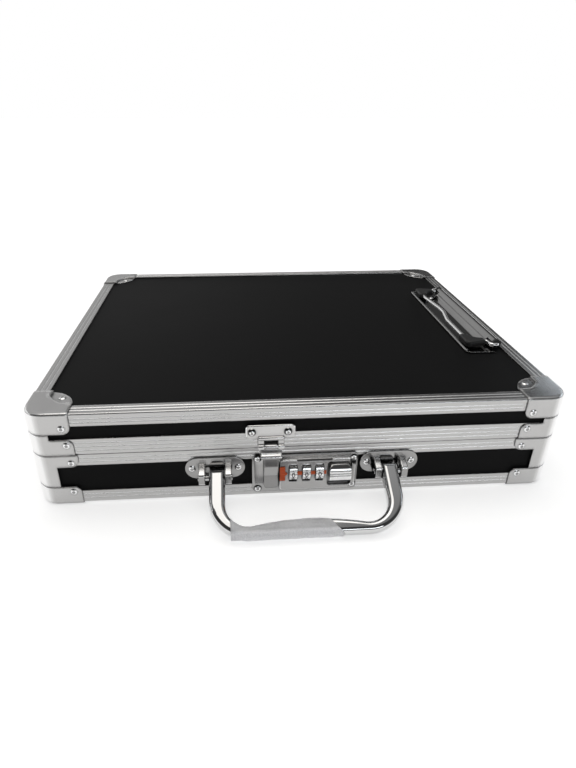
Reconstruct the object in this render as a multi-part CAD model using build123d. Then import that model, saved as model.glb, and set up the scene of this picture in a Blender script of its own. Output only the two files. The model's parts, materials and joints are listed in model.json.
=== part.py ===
from build123d import *
import os

# A slim lockable clipboard case: black panels in aluminium edge extrusions, pressed steel corners,
# a fold-down handle, a three-dial lock with a hasp, and a wire clip on the lid.
# Millimetres, +Z up. The pieces are drawn with x = 0 at the middle of the case, y = 0 at its front
# face and z = 0 under its edge extrusions. The last lines place the whole on its rest plane.

# Case body
case_width = 340.0
case_depth = 275.0
base_height = 38.0
lid_height = 29.5
parting_gap = 0.2
corner_radius = 12.5
edge_radius = 1.2
case_height = base_height + lid_height
lid_bottom = base_height + parting_gap
SIDES = ("front", "back", "left", "right")

# Edge extrusions, measured inward from the outer face
outer_wall = 1.2
inner_wall = 1.0
panel_thickness = 3.0
slot_back = outer_wall + panel_thickness
slot_floor = slot_back + 0.6
edge_flange = 10.0
base_edge_face = 9.5
lid_edge_face = 8.7
base_rim_face = 8.3
base_rim_flange = 8.0
lid_rim_face = 11.3
mitre_depth = 12.0
groove_size = 0.55
panel_setback = 7.5

# Tongue on the base rim and the groove in the lid rim that drops over it
tongue_thickness = 1.2
tongue_height = 2.5
tongue_clearance = 0.4
tongue_headroom = 1.3
tongue_near = slot_back + inner_wall
tongue_far = tongue_near + tongue_thickness
groove_near = tongue_near - tongue_clearance
groove_far = tongue_far + tongue_clearance + 0.1
groove_top = base_height + tongue_height + tongue_headroom
lid_web_top = groove_top + outer_wall
lip_gap = 0.3

# Lining
lining_thickness = 0.8

# Pressed corner pieces
cap_thickness = 0.8
cap_reach = 28.2
leaf_centre = 30.1
leaf_radius = 20.7
cap_corner_radius = 5.0
base_cap_face = 13.5
lid_cap_face = 13.9
lid_web_width = 14.5
base_web_width = 15.9
lid_tab_reach = 28.5
base_tab_reach = 29.7
base_tab_face = 9.0
seam_gap = 0.25

# Rivets
rivet_head_radius = 2.4
rivet_head_height = 0.9
rivet_shank_radius = 1.4
rivet_fit = 0.02
cap_rivet_inset = 20.0
cap_rivet_face_inset = 23.2
cap_rivet_edge = 9.6
base_tab_rivet = 25.1
base_tab_rivet_z = base_height - 6.0
lid_tab_rivet = 24.4
lid_tab_rivet_z = lid_bottom + 7.2

# Combination lock
lock_left = -32.3
lock_right = 36.3
lock_low = 3.6
lock_high = base_height - 5.4
lock_plate = 1.2
lock_corner = 3.0
lock_face = 4.5
lock_body_left = -15.6
lock_body_low = lock_low + 2.4
lock_body_high = lock_high - 1.0
lock_wall = 1.0
lock_bay_low = lock_low + 7.6
lock_bay_high = lock_high - 4.4
lock_bay_right = lock_right - 6.7
lock_rivet_radius = 2.7
lock_rivet_seat = 0.4
lock_rivet_height = 1.3
scoop_depth = 1.6
cover_clearance = 0.2
cover_low = base_edge_face + 0.7
cover_high = base_height - base_rim_face - 0.5
cover_depth = 8.8
cover_left = -25.2

# Dials
dial_count = 3
dial_first_x = -6.05
dial_pitch = 8.55
dial_width = 5.0
dial_radius = 7.2
dial_y = 0.3
dial_z = (lock_low + lock_high) / 2 + 2.2
dial_notches = 10
dial_hub_radius = 3.4
dial_hub_width = 0.9
axle_radius = 1.0
axle_fit = 0.05
window_width = 5.4
window_low = dial_z - 6.5
window_high = dial_z + 7.3
index_height = 10.6
index_bar_height = 2.6
face_slot_left = -4.0
face_slot_right = 19.3
face_slot_low = lock_high - 3.3
face_slot_high = lock_high - 1.6
face_slot_depth = 0.35

# Thumb button
button_x = 24.3
button_z = dial_z - 0.8
button_width = 14.0
button_height = 13.6
button_corner = 3.0
button_rim = 1.4
button_dome = 5.6
button_travel = 2.5
button_recess_left = button_x - 8.1
button_recess_right = button_x + 7.6
button_recess_low = lock_low + 5.8
button_ridge_pitch = 1.5
button_ridges = 4
recess_floor = 2.3
button_stem_radius = 2.6
latch_plate_thickness = 0.8
latch_back = cover_depth + outer_wall - lock_wall - 0.4
latch_front = latch_back - latch_plate_thickness
latch_low = dial_z - 4.9
latch_high = dial_z + 5.1
latch_finger = 2.0
spring_radius = 1.6
spring_wire = 0.25
spring_turns = 6

# Hasp
hasp_plate_left = -36.2
hasp_plate_right = -5.0
hasp_plate_low = lid_bottom + 7.5
hasp_plate_high = hasp_plate_low + 10.3
hasp_plate_thickness = 2.0
hasp_plate_corner = 2.4
hasp_plate_edge = 0.9
hasp_rivet_radius = 2.7
hasp_rivet_height = 1.8
roll_bar_radius = 1.4
roll_bar_half = 8.0
hasp_axis_y = -2.8
hasp_axis_z = lid_bottom + 2.3
knuckle_radius = 2.0
hasp_pin_radius = 0.9
hasp_middle = -20.25
hasp_knuckle_width = 8.1
hasp_side_knuckle = 3.9
knuckle_gap = 0.3
hasp_thickness = 1.0
hasp_shelf_width = 13.5
hasp_shelf_low = lock_high + 0.4
hasp_shelf_high = lock_high + 5.1
hasp_front = -5.5
strap_width = 9.1
strap_low = lock_low + 5.4
strap_high = lock_high + 1.4
strap_corner = 2.0
staple_z = dial_z - 0.1
staple_front = -3.4
staple_wall = 1.1
staple_depth = 7.6
staple_height = 1.8

# Handle and its brackets
bracket_middle = 0.5
bracket_x = 56.4
bracket_width = 38.0
bracket_height = 15.8
bracket_z = base_height - 13.5
bracket_plate = 1.2
bracket_rivet = 14.7
ear_inner = 6.4
ear_width = 3.9
ear_strip = 1.4
ear_top = bracket_z + 3.3
ear_bend = bracket_z + 0.1
ear_foot = bracket_z - 6.5
ear_root = bracket_z - 7.1
pin_radius = 1.8
pin_fit = 0.05
pin_y = -6.6
pin_z = bracket_z - 3.5
handle_droop = 27.0
handle_middle = 0.65
handle_half_span = 55.4
handle_arm_width = 10.2
handle_thickness = 8.6
handle_outer = 39.9
handle_opening = 36.9
handle_opening_middle = 29.7
elbow_outer = 24.0
elbow_inner = 14.0
handle_edge = 3.0
film_gap = 0.1
film_thickness = 0.4
film_left = -47.5
film_right_inner = 10.0
film_right_outer = 24.5

# Lid hinges
hinge_offset = 4.0
hinge_x = 105.0
hinge_width = 42.0
hinge_leaf = 1.2
hinge_barrel = 2.6
hinge_pin_radius = 1.2
hinge_fit = 0.05
hinge_knuckles = 3
base_leaf_height = 8.0
lid_leaf_height = 11.0
hinge_rivet = 14.0
lid_open = 95.0
lid_stop_gap = 0.1
stop_length = 5.0

# Clip on the lid
clip_right = case_width / 2 - 10.6
clip_left = clip_right - 29.3
clip_end_right = clip_right - 6.6
clip_middle = case_depth / 2 - 2.2
clip_length = 135.2
clip_near = clip_middle - clip_length / 2
clip_far = clip_middle + clip_length / 2
clip_thickness = 0.8
clip_corner = 3.4
clip_bead = 2.4
clip_lip = 0.7
clip_lip_width = 1.2
clip_pivot_x = clip_right - 3.9
clip_pivot_rise = 3.6
clip_roll = 2.9
clip_roll_half = 59.1
clip_ramp_half = 51.4
clip_ramp_left = clip_pivot_x - 8.3
clip_groove = 0.45
clip_rivet_x = clip_pivot_x - 10.5
clip_rivet_half = 51.0
bushing_radius = 3.3
bushing_length = 1.8
wire_radius = 1.5
wire_fit = 0.1
wire_socket = 16.0
wire_front_x = clip_left + 5.6
wire_hook_x = clip_pivot_x - 5.4
wire_hook_half = 62.8
wire_arm_half = 56.0
wire_bend = 4.5
hook_bend = 2.2
hump_middle = clip_middle + 6.0
hump_near = 19.0
hump_far = 34.0
hump_top_half = 4.0
hump_offset = 2.2
hump_rise = 1.2
hump_bend = 9.0
grip_low = clip_pivot_rise - 2.7
grip_high = clip_pivot_rise + 2.5
grip_edge = 1.8


def section_rect(near, far, low, high):
    """Rectangle of a section: near to far inward from the outer face, low to high in z."""
    return Pos((near + far) / 2, (low + high) / 2) * Rectangle(far - near, high - low)


def block(x_low, x_high, y_low, y_high, z_low, z_high):
    """Upright box between two corners."""
    middle = Pos((x_low + x_high) / 2, (y_low + y_high) / 2, (z_low + z_high) / 2)
    return middle * Box(x_high - x_low, y_high - y_low, z_high - z_low)


def rod_x(radius, x_low, x_high, y, z):
    """Round bar along X."""
    return Pos((x_low + x_high) / 2, y, z) * Rot(0, 90, 0) * Cylinder(radius, x_high - x_low)


def rod_y(radius, y_low, y_high, x, z):
    """Round bar along Y."""
    return Pos(x, (y_low + y_high) / 2, z) * Rot(90, 0, 0) * Cylinder(radius, y_high - y_low)


def front_plate(sketch, y_low, y_high):
    """Solid between two depths from an outline drawn in x and z, as seen from the front."""
    return extrude(Plane(origin=(0, y_high, 0), x_dir=(1, 0, 0), z_dir=(0, -1, 0)) * sketch, y_high - y_low)


def side_profile(sketch, x_low, x_high):
    """Solid between two x values from an outline drawn in y and z."""
    return extrude(Plane(origin=(x_low, 0, 0), x_dir=(0, 1, 0), z_dir=(1, 0, 0)) * sketch, x_high - x_low)


def side_length(side):
    return case_width if side in ("front", "back") else case_depth


def on_side(side, shape):
    """Carry a shape made along the front face, centred on x = 0, to one of the four sides."""
    places = {
        "front": Pos(0, 0, 0),
        "back": Pos(0, case_depth, 0) * Rot(0, 0, 180),
        "left": Pos(-case_width / 2, case_depth / 2, 0) * Rot(0, 0, -90),
        "right": Pos(case_width / 2, case_depth / 2, 0) * Rot(0, 0, 90),
    }
    return places[side] * shape


def mitred_member(side, section, envelope):
    """Extrusion along one side, mitred at both ends and trimmed to the rounded block of the case."""
    length = side_length(side)
    half = length / 2
    bar = side_profile(section, -half, half)
    mitre = make_face(Polyline(
        (-half, 0), (half, 0), (half - mitre_depth, mitre_depth), (mitre_depth - half, mitre_depth),
        close=True,
    ))
    return on_side(side, bar & (Pos(0, 0, -1) * extrude(mitre, case_height + 2))) & envelope


def ridge_cuts(places):
    """Small V grooves that run along the visible faces of an extrusion section."""
    return [Pos(*place) * Rot(0, 0, 45) * Rectangle(groove_size, groove_size) for place in places]


def edge_section(face_height):
    """Corner extrusion of the base, drawn from its underside up."""
    section = section_rect(0, outer_wall, 0, face_height)
    section += section_rect(0, edge_flange, 0, outer_wall)
    section += section_rect(outer_wall, slot_floor, outer_wall, slot_floor)
    section += section_rect(slot_back, tongue_near, slot_back, face_height)
    section += section_rect(slot_back, edge_flange, slot_back, tongue_near)
    face_ridges = [(0, face_height * share) for share in (0.42, 0.7)]
    top_ridges = [(edge_flange * share, 0) for share in (0.4, 0.7)]
    return section - ridge_cuts(face_ridges + top_ridges)


def base_rim_section():
    low = base_height - base_rim_face
    section = section_rect(0, outer_wall, low, base_height)
    section += section_rect(0, base_rim_flange, base_height - outer_wall, base_height)
    section += section_rect(slot_back, tongue_near, low, base_height)
    section += section_rect(tongue_near, tongue_far, base_height - outer_wall, base_height + tongue_height)
    return section - ridge_cuts([(0, low + base_rim_face * share) for share in (0.33, 0.66)])


def lid_rim_section():
    high = lid_bottom + lid_rim_face
    section = section_rect(0, outer_wall, lid_bottom, high)
    section += section_rect(0, groove_near, lid_bottom, lid_bottom + outer_wall)
    section += section_rect(0, groove_far + outer_wall, groove_top, lid_web_top)
    section += section_rect(groove_far, groove_far + outer_wall, base_height + lip_gap, lid_web_top)
    section += section_rect(slot_back, tongue_near, groove_top, high)
    return section - ridge_cuts([(0, lid_bottom + lid_rim_face * share) for share in (0.25, 0.5, 0.75)])


def side_panel(side, low, high):
    """Flat panel standing in the slots of two extrusions."""
    half = side_length(side) / 2 - panel_setback
    return on_side(side, block(-half, half, outer_wall, slot_back, low, high))


def flat_panel(z_low, z_high):
    half = case_width / 2 - slot_floor
    return block(-half, half, slot_floor, case_depth - slot_floor, z_low, z_high)


def lining(floor_low, floor_high, wall_low, wall_high):
    """Thin tray glued inside a half of the case."""
    near = tongue_near
    far = near + lining_thickness
    half = case_width / 2
    outer = block(near - half, half - near, near, case_depth - near, wall_low, wall_high)
    return outer - block(far - half, half - far, far, case_depth - far, floor_low, floor_high)


def case_block(grow):
    """The closed case as one rounded block, grown outward all round."""
    plan = RectangleRounded(case_width + 2 * grow, case_depth + 2 * grow, corner_radius + grow)
    solid = Pos(0, case_depth / 2, -grow) * extrude(plan, case_height + 2 * grow)
    levels = solid.faces().sort_by(Axis.Z)
    return fillet(levels[0].edges() + levels[-1].edges(), edge_radius + grow)


def corner_zone(profile):
    """Region round the front left corner. The profile is drawn as distance from the corner and z."""
    left = -case_width / 2
    reach = corner_radius + 2
    front = Plane(origin=(left, corner_radius, 0), x_dir=(1, 0, 0), z_dir=(0, -1, 0))
    flank = Plane(origin=(left - 2, 0, 0), x_dir=(0, 1, 0), z_dir=(1, 0, 0))
    return extrude(front * profile, reach) + extrude(flank * profile, reach)


def tab_profile(reach, low, high, rounded_high):
    """Rectangle from beyond the corner to the reach, with its free inner corner rounded."""
    shape = section_rect(-2, reach, low, high)
    free = shape.vertices().sort_by_distance((reach, high if rounded_high else low))[0]
    return fillet(free, cap_corner_radius)


def four_corners(shape):
    """The front left piece and its mirror images at the other corners."""
    middle = Plane(origin=(0, case_depth / 2, 0), z_dir=(0, 1, 0))
    front = [shape, mirror(shape, about=Plane.YZ)]
    return front + [mirror(piece, about=middle) for piece in front]


def cap_plan():
    """Plan of a cap: two arms along the extrusions, a quarter disc between them and its leaf."""
    arm = Rectangle(edge_flange + 2, cap_reach + 2, align=(Align.MIN, Align.MIN))
    cross_arm = Rectangle(cap_reach + 2, edge_flange + 2, align=(Align.MIN, Align.MIN))
    arms = Pos(-2, -2) * (arm + cross_arm)
    inner = Pos(edge_flange, edge_flange) * Rectangle(cap_reach, cap_reach, align=(Align.MIN, Align.MIN))
    quarter = (Pos(edge_flange, edge_flange) * Circle(cap_reach - edge_flange)) & inner
    leaf = quarter & (Pos(leaf_centre, leaf_centre) * Circle(leaf_radius))
    return arms + quarter - leaf, leaf


def lid_cap(skin):
    """Top corner cap: skirt, cover over the extrusions and a sunk leaf riveted to the panel."""
    left = -case_width / 2
    low = case_height - lid_cap_face
    skirt = skin & corner_zone(tab_profile(cap_reach, low, case_height + 2, False))
    cover_plan, leaf = cap_plan()
    step = leaf - Pos(leaf_centre, leaf_centre) * Circle(leaf_radius - cap_thickness)
    cover = skin & (Pos(left, 0, case_height - edge_radius) * extrude(cover_plan, edge_radius + 2))
    sunk = Pos(left, 0, case_height - outer_wall)
    sunk_leaf = extrude(leaf, cap_thickness) + extrude(step, outer_wall + cap_thickness)
    return skirt + cover + sunk * sunk_leaf


def turned_over(shape, face_height):
    """A lid cap mirrored to the underside, with its skirt cut to another height."""
    flipped = mirror(Pos(0, 0, -case_height) * shape, about=Plane.XY)
    keep = block(-case_width, case_width, -case_depth, 2 * case_depth, -2, face_height)
    return flipped & keep


def rivet(place, head_radius=rivet_head_radius, shank=0.0, head_height=rivet_head_height):
    """Domed rivet at a location whose z axis points out of the seat, with a shank into it."""
    sphere_radius = (head_radius**2 + head_height**2) / (2 * head_height)
    ball = Pos(0, 0, head_height - sphere_radius) * Sphere(sphere_radius)
    head = ball & (Pos(0, 0, head_height / 2) * Cylinder(head_radius + 1, head_height))
    if shank:
        head += Pos(0, 0, -shank / 2) * Cylinder(rivet_shank_radius, shank)
    return place * head


def shank_hole(place, depth):
    return place * Pos(0, 0, -depth / 2) * Cylinder(rivet_shank_radius + rivet_fit, depth + 0.4)


def facing(side, along, height, proud):
    """Location on a side face: along the side from its middle, proud of it, z axis outward."""
    return on_side(side, Pos(along, -proud, height) * Rot(90, 0, 0))


def corner_facings(inset, height):
    """Rivet places on both faces at each corner."""
    found = []
    for side in SIDES:
        along = side_length(side) / 2 - inset
        found += [facing(side, end * along, height, cap_thickness) for end in (-1, 1)]
    return found


def case_pieces():
    """Extrusions, panels, linings and corner pieces of both halves."""
    pieces = {}
    envelope = case_block(0)
    base_edge = edge_section(base_edge_face)
    lid_edge = Pos(0, case_height) * mirror(edge_section(lid_edge_face), about=Plane.XZ)
    base_rim = base_rim_section()
    lid_rim = lid_rim_section()
    for side in SIDES:
        pieces["base_frame_" + side] = mitred_member(side, base_edge, envelope)
        pieces["base_rim_" + side] = mitred_member(side, base_rim, envelope)
        pieces["base_panel_" + side] = side_panel(side, slot_floor, base_height - outer_wall)
        pieces["lid_frame_" + side] = mitred_member(side, lid_edge, envelope)
        pieces["lid_rim_" + side] = mitred_member(side, lid_rim, envelope)
        pieces["lid_panel_" + side] = side_panel(side, lid_web_top, case_height - slot_floor)
    pieces["base_bottom_panel"] = flat_panel(outer_wall, slot_back)
    pieces["lid_top_panel"] = flat_panel(case_height - slot_back, case_height - outer_wall)
    base_floor = tongue_near + lining_thickness
    base_top = base_height - outer_wall
    pieces["base_lining"] = lining(base_floor, base_top + 1, tongue_near, base_top)
    lid_floor = case_height - base_floor
    pieces["lid_lining"] = lining(lid_web_top - 1, lid_floor, lid_web_top, case_height - tongue_near)
    return pieces


def corner_pieces():
    """Caps and rim corners, as mirrored sets of four."""
    skin = case_block(cap_thickness) - case_block(0)
    lid_cap_one = lid_cap(skin)
    base_cap_one = turned_over(lid_cap_one, base_cap_face)
    rim_low = base_height - base_tab_face
    base_tab = tab_profile(base_tab_reach, rim_low, base_height, False)
    base_web = section_rect(-2, base_web_width, base_cap_face + seam_gap, base_height)
    rim_high = lid_bottom + lid_rim_face
    lid_tab = tab_profile(lid_tab_reach, lid_bottom, rim_high, True)
    lid_web = section_rect(-2, lid_web_width, lid_bottom, case_height - lid_cap_face - seam_gap)
    return {
        "base_corner_caps": four_corners(base_cap_one),
        "base_rim_corners": four_corners(skin & corner_zone(base_tab + base_web)),
        "lid_corner_caps": four_corners(lid_cap_one),
        "lid_rim_corners": four_corners(skin & corner_zone(lid_tab + lid_web)),
    }


def flat_rivets(z, up):
    """Rivet places through the lobes of four caps, on the lid or on the underside."""
    turn = Rot(0, 0, 0) if up else Rot(180, 0, 0)
    half = case_width / 2 - cap_rivet_inset
    near = cap_rivet_inset
    far = case_depth - cap_rivet_inset
    return [Pos(x, y, z) * turn for x in (-half, half) for y in (near, far)]


def plate_outline(left, right, low, high, radius):
    return Pos((left + right) / 2, (low + high) / 2) * RectangleRounded(right - left, high - low, radius)


def dial_x(index):
    return dial_first_x + index * dial_pitch


def lock_case():
    """Die-cast lock front: plate, raised body with windows, button recess and strap scoop."""
    outline = plate_outline(lock_left, lock_right, lock_low, lock_high, lock_corner)
    plate = front_plate(outline, -lock_plate, 0)
    body_right = lock_right - lock_wall
    pad_low = base_edge_face + 0.3
    pad_high = base_height - base_rim_face - 0.3
    pad = block(lock_left + lock_wall, body_right, 0, outer_wall, pad_low, pad_high)
    outline = plate_outline(lock_body_left, body_right, lock_body_low, lock_body_high, lock_corner)
    raised = extrude(Plane(origin=(0, -lock_plate, 0), x_dir=(1, 0, 0), z_dir=(0, -1, 0)) * outline,
                     lock_face - lock_plate, taper=18)
    raised = fillet(raised.faces().sort_by(Axis.Y)[0].edges(), 0.6)
    solid = plate + pad + raised
    # the dial and latch hollow, then the recess dish and the axle rib put back into it
    bay_left = lock_body_left + lock_wall
    bay_front = lock_wall - lock_face
    solid -= block(bay_left, lock_bay_right, bay_front, outer_wall + 1, lock_bay_low, lock_bay_high)
    recess_high = lock_bay_high + 0.2
    dish = block(button_recess_left - lock_wall, button_recess_right + lock_wall, lock_wall - lock_face,
                 lock_wall - recess_floor, button_recess_low - lock_wall, recess_high + lock_wall)
    solid += dish
    recess = plate_outline(button_recess_left, button_recess_right, button_recess_low, recess_high, 2.0)
    solid -= front_plate(recess, -lock_face - 1, -recess_floor)
    rib_x = button_recess_left - lock_wall
    solid += block(rib_x - lock_wall, rib_x, lock_wall - lock_face, outer_wall, lock_bay_low, lock_bay_high)
    for index in range(dial_count):
        centre = dial_x(index)
        side = window_width / 2
        window = plate_outline(centre - side, centre + side, window_low, window_high, 0.8)
        solid -= front_plate(window, -lock_face - 1, 0)
    # the strap scoop is a shallow cylinder across the left of the plate
    half_chord = (pad_high - pad_low) / 2
    scoop_radius = (half_chord**2 + scoop_depth**2) / (2 * scoop_depth)
    scoop_z = (pad_high + pad_low) / 2
    scoop_y = scoop_depth - lock_plate - scoop_radius
    solid -= rod_x(scoop_radius, lock_left + 1.6, lock_body_left, scoop_y, scoop_z)
    # slots for the staple and for the button's stem
    staple_half = strap_width / 2 - 1.4
    solid -= block(hasp_middle - staple_half, hasp_middle + staple_half, -lock_face, outer_wall + 1,
                   staple_z - staple_height / 2 - 0.8, staple_z + staple_height / 2 + 0.8)
    stem_half = button_stem_radius + 0.3
    solid -= block(button_x - stem_half, button_x + stem_half, -recess_floor - 1, outer_wall + 1,
                   button_z - button_travel - stem_half, button_z + stem_half)
    solid -= rod_x(axle_radius + rivet_fit, lock_body_left - 0.6, rib_x, dial_y, dial_z)
    # shallow bare slot in the face above the dials
    slot = plate_outline(face_slot_left, face_slot_right, face_slot_low, face_slot_high, 0.8)
    solid -= front_plate(slot, -lock_face - 1, face_slot_depth - lock_face)
    seat = Pos(0, 0, lock_face) * Cylinder(lock_rivet_radius + lock_rivet_seat, 2 * lock_face)
    for place in lock_rivet_places():
        solid -= place * seat
        solid -= shank_hole(place, lock_plate + outer_wall)
    return solid


def lock_rivet_places():
    """Rivets at the corners of the plate, tight to the edge on the right where the body fills it."""
    left = lock_left + 3.5
    right = lock_right - 2.9
    left_spots = ((left, lock_low + 3.0), (left, lock_high - 2.2))
    right_spots = ((right, lock_low + 4.0), (right, lock_high - 3.9))
    spots = left_spots + right_spots
    return [facing("front", x, z, lock_plate) for x, z in spots]


def cover_box(grow):
    """Outer block of the cover behind the lock, also used to cut its way through the panel."""
    right = lock_right - lock_wall + grow
    back = cover_depth + outer_wall
    return block(cover_left - grow, right, outer_wall - grow, back, cover_low - grow, cover_high + grow)


def lock_cover():
    right = lock_right - 2 * lock_wall
    back = cover_depth + outer_wall - lock_wall
    inner = block(cover_left + lock_wall, right, 0, back, cover_low + lock_wall, cover_high - lock_wall)
    return cover_box(0) - inner


def dial(index):
    """Number wheel: notched rim, narrow hub with a gate, bored for the axle."""
    centre = dial_x(index)
    half = dial_width / 2
    wheel = Circle(dial_radius)
    for step in range(dial_notches):
        angle = 360 / dial_notches * (step + 0.5)
        wheel -= Rot(0, 0, angle) * Pos(dial_radius + 0.35, 0) * Circle(0.9)
    hub = Circle(dial_hub_radius) - Pos(dial_hub_radius, 0) * Rectangle(1.6, 1.4)
    bore = Circle(axle_radius + axle_fit)
    turned = Plane(origin=(centre - half, dial_y, dial_z), x_dir=(0, 1, 0), z_dir=(1, 0, 0))
    hub_left = centre - half - dial_hub_width
    hub_plane = Plane(origin=(hub_left, dial_y, dial_z), x_dir=(0, 1, 0), z_dir=(1, 0, 0))
    return extrude(turned * (wheel - bore), dial_width) + extrude(hub_plane * (hub - bore), dial_hub_width)


def thumb_button():
    """Chrome thumb button: rounded block with a bulged front, thumb ridges and a stem to the latch."""
    base_y = -recess_floor - 0.3
    half_width = button_width / 2
    half_height = button_height / 2
    bulge = make_face(
        ThreePointArc((base_y - button_rim, button_z - half_height), (base_y - button_dome, button_z + 1.5),
                      (base_y - button_rim, button_z + half_height))
        + Polyline((base_y - button_rim, button_z + half_height), (base_y, button_z + half_height),
                   (base_y, button_z - half_height), (base_y - button_rim, button_z - half_height))
    )
    outline = plate_outline(button_x - half_width, button_x + half_width, button_z - half_height,
                            button_z + half_height, button_corner)
    head = side_profile(bulge, button_x - half_width, button_x + half_width)
    head &= front_plate(outline, base_y - 2 * button_dome, base_y)
    x_low, x_high = button_x - half_width, button_x + half_width
    for row in range(button_ridges):
        rise = row * button_ridge_pitch
        drop = (rise - button_ridge_pitch) ** 2 / (2 * half_height + 4)
        head -= rod_x(0.35, x_low, x_high, base_y - button_dome + drop, button_z + rise)
    return head + rod_y(button_stem_radius, base_y - button_rim, latch_front, button_x, button_z)


def latch_plate():
    """Plate behind the dials: fingers beside the hubs and a nose that holds the staple."""
    nose_half = 0.9
    nose_y = outer_wall + 0.4
    nose_low = staple_z - staple_height / 2 - 0.4
    nose_high = staple_z + staple_height / 2 + 0.3
    nose_foot = nose_low - latch_finger
    left = hasp_middle - 2.6
    right = button_x + 4.6
    plate = block(left, right, latch_front, latch_back, latch_low, latch_high)
    tongue = block(hasp_middle - nose_half, hasp_middle + nose_half, nose_y, latch_back, nose_foot, nose_low)
    nose = block(hasp_middle - nose_half, hasp_middle + nose_half, nose_y, nose_y + 1.4, nose_foot, nose_high)
    solid = plate + tongue + nose
    for index in range(dial_count):
        x = dial_x(index) - dial_width / 2 - 1.2
        finger_y = dial_y + dial_hub_radius + 0.5
        finger_low = latch_high - latch_finger
        solid += block(x, x + latch_plate_thickness, finger_y, latch_front, finger_low, latch_high)
    # seat for the return spring below the plate's right end
    seat_high = latch_low + latch_plate_thickness
    seat = block(right - 3.6, right, latch_front - 3.0, latch_front, latch_low, seat_high)
    return solid + seat


def latch_spring():
    """Small coil that lifts the latch plate back, standing on the cover's floor."""
    low = cover_low + lock_wall
    x = button_x + 2.8
    y = latch_front - 1.7
    rise = latch_low - low - 2 * spring_wire
    path = Helix(pitch=rise / spring_turns, height=rise, radius=spring_radius - spring_wire)
    ring = Plane(origin=path @ 0, z_dir=path % 0) * Circle(spring_wire)
    return Pos(x, y, low + spring_wire) * sweep(ring, path=path, is_frenet=True)


def index_marks():
    """Orange pointer plate with its ridges and the red bars between the windows."""
    left = lock_body_left + 0.9
    body = plate_outline(left, left + 3.4, dial_z - index_height / 2, dial_z + index_height / 2, 0.4)
    tip = make_face(
        Polyline((left + 3.0, dial_z - 2.0), (left + 4.9, dial_z), (left + 3.0, dial_z + 2.0), close=True)
    )
    pointer = front_plate(body + tip, -lock_face - 0.7, -lock_face)
    for row in (-3.3, -1.1, 1.1, 3.3):
        pointer -= rod_x(0.3, left - 1, left + 6, -lock_face - 0.75, dial_z + row)
    bars = []
    for index in range(dial_count):
        x_low = dial_x(index) + window_width / 2 + 0.1
        x_high = x_low + dial_pitch - window_width - 0.2 if index < dial_count - 1 else x_low + 1.6
        bar_half = index_bar_height / 2
        bars.append(block(x_low, x_high, -lock_face - 0.3, -lock_face, dial_z - bar_half, dial_z + bar_half))
    return [pointer] + bars


def strip(points, radius, thickness):
    """Bent strip in section: a path with rounded bends, given its thickness."""
    return trace(FilletPolyline(*points, radius=radius), line_width=thickness)


def hasp_plate():
    """Plate riveted to the lid with a roll bar and the outer knuckles of the hasp hinge."""
    low = hasp_plate_low
    high = hasp_plate_high
    outline = plate_outline(hasp_plate_left, hasp_plate_right, low, high, hasp_plate_corner)
    solid = front_plate(outline, -hasp_plate_thickness, 0)
    solid = fillet(solid.faces().sort_by(Axis.Y)[0].edges(), hasp_plate_edge)
    pad_low = lid_bottom + lid_rim_face + 0.3
    solid += block(hasp_plate_left + 1, hasp_plate_right - 1, 0, outer_wall, pad_low, high - 1)
    bar_left = hasp_middle - roll_bar_half
    bar_right = hasp_middle + roll_bar_half
    solid += rod_x(roll_bar_radius, bar_left, bar_right, -hasp_plate_thickness, low + 0.9)
    for end in (-1, 1):
        inner = hasp_middle + end * (hasp_knuckle_width / 2 + knuckle_gap)
        outer = inner + end * hasp_side_knuckle
        x_low, x_high = min(inner, outer), max(inner, outer)
        solid += rod_x(knuckle_radius, x_low, x_high, hasp_axis_y, hasp_axis_z)
        solid += block(x_low, x_high, hasp_axis_y, -0.8, hasp_axis_z, low + 0.6)
    reach = hasp_knuckle_width / 2 + knuckle_gap + hasp_side_knuckle + 1
    bore = hasp_pin_radius + rivet_fit
    solid -= rod_x(bore, hasp_middle - reach, hasp_middle + reach, hasp_axis_y, hasp_axis_z)
    for place in hasp_rivet_places():
        solid -= shank_hole(place, hasp_plate_thickness + outer_wall)
    return solid


def hasp_rivet_places():
    middle = (hasp_plate_low + hasp_plate_high) / 2 + 0.4
    ends = (hasp_plate_left + 3.9, hasp_plate_right - 4.7)
    return [facing("front", x, middle, hasp_plate_thickness) for x in ends]


def hasp():
    """Hasp in one bent strip: knuckle, short plate, wide shelf and the long strap over the lock."""
    half = hasp_thickness / 2
    back_y = hasp_axis_y + knuckle_radius - half
    points = [
        (back_y, hasp_axis_z),
        (back_y, lock_high + 4.0),
        (hasp_front, lock_high + 1.6),
        (hasp_front, lock_high - 5.6),
        (hasp_front + 1.9, lock_high - 13.6),
        (hasp_front + 1.6, strap_low),
    ]
    reach = hasp_shelf_width
    bent = side_profile(strip(points, 1.4, hasp_thickness), hasp_middle - reach, hasp_middle + reach)
    knuckle_half = hasp_knuckle_width / 2
    neck = section_rect(hasp_middle - knuckle_half, hasp_middle + knuckle_half, strap_high, hasp_axis_z)
    shelf = plate_outline(hasp_middle - hasp_shelf_width / 2, hasp_middle + hasp_shelf_width / 2,
                          hasp_shelf_low, hasp_shelf_high, 1.2)
    strap = section_rect(hasp_middle - strap_width / 2, hasp_middle + strap_width / 2, strap_low, strap_high)
    strap = fillet(strap.vertices().sort_by(Axis.Y)[:2], strap_corner)
    solid = bent & front_plate(neck + shelf + strap, 2 * hasp_front, -hasp_front)
    x_low, x_high = hasp_middle - knuckle_half, hasp_middle + knuckle_half
    solid += rod_x(knuckle_radius, x_low, x_high, hasp_axis_y, hasp_axis_z)
    return solid - rod_x(hasp_pin_radius + axle_fit, x_low - 1, x_high + 1, hasp_axis_y, hasp_axis_z)


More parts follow.
